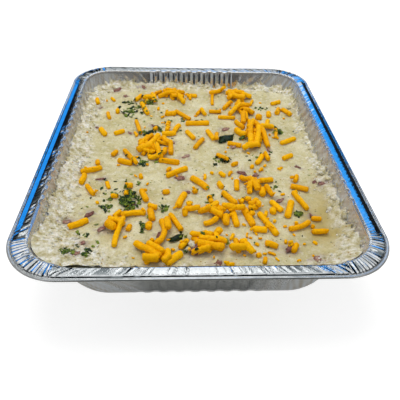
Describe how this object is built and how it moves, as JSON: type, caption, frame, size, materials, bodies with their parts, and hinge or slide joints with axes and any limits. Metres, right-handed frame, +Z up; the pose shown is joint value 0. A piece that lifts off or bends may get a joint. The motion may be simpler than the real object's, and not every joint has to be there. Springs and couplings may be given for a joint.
{
  "type": "shepherds pie in foil tray",
  "caption": "Shepherd's pie with mashed potato, grated cheddar strips and chopped parsley, filled into a rectangular fluted foil tray with a flat rim and rolled edge.",
  "frame": {"origin": "centre of the tray's outline, on the surface it stands on", "axes": "+Z up, X across the tray's short side, Y along its long side; the shown end faces -Y"},
  "size_m": [0.264, 0.324, 0.057],
  "materials": {
    "foil": "bright stamped foil, wrinkled at the corners",
    "mash": "moist mashed potato with skin flecks",
    "cheddar": "soft satin cheddar",
    "parsley": "dry chopped leaf"
  },
  "bodies": {
    "root": {"cheddar_heap_01": "cheddar", "cheddar_heap_02": "cheddar", "cheddar_heap_03": "cheddar", "cheddar_heap_04": "cheddar", "cheddar_heap_05": "cheddar", "cheddar_heap_06": "cheddar", "cheddar_heap_07": "cheddar", "cheddar_heap_08": "cheddar", "cheddar_heap_09": "cheddar", "cheddar_heap_10": "cheddar", "cheddar_heap_11": "cheddar", "cheddar_strip_01": "cheddar", "cheddar_strip_02": "cheddar", "cheddar_strip_03": "cheddar", "cheddar_strip_04": "cheddar", "cheddar_strip_05": "cheddar", "cheddar_strip_06": "cheddar", "cheddar_strip_07": "cheddar", "cheddar_strip_08": "cheddar", "cheddar_strip_09": "cheddar", "cheddar_strip_10": "cheddar", "cheddar_strip_11": "cheddar", "cheddar_strip_12": "cheddar", "cheddar_strip_13": "cheddar", "cheddar_strip_14": "cheddar", "cheddar_strip_15": "cheddar", "cheddar_strip_16": "cheddar", "cheddar_strip_17": "cheddar", "cheddar_strip_18": "cheddar", "cheddar_strip_19": "cheddar", "cheddar_strip_20": "cheddar", "cheddar_strip_21": "cheddar", "cheddar_strip_22": "cheddar", "cheddar_strip_23": "cheddar", "cheddar_strip_24": "cheddar", "cheddar_strip_25": "cheddar", "cheddar_strip_26": "cheddar", "cheddar_strip_27": "cheddar", "cheddar_strip_28": "cheddar", "cheddar_strip_29": "cheddar", "cheddar_strip_30": "cheddar", "cheddar_strip_31": "cheddar", "cheddar_strip_32": "cheddar", "cheddar_strip_33": "cheddar", "cheddar_strip_34": "cheddar", "cheddar_strip_35": "cheddar", "cheddar_strip_36": "cheddar", "cheddar_strip_37": "cheddar", "cheddar_strip_38": "cheddar", "cheddar_strip_39": "cheddar", "foil_tray": "foil", "parsley_heap": "parsley", "parsley_leaf": "parsley", "pie_filling": "mash"}
  },
  "joints": []
}
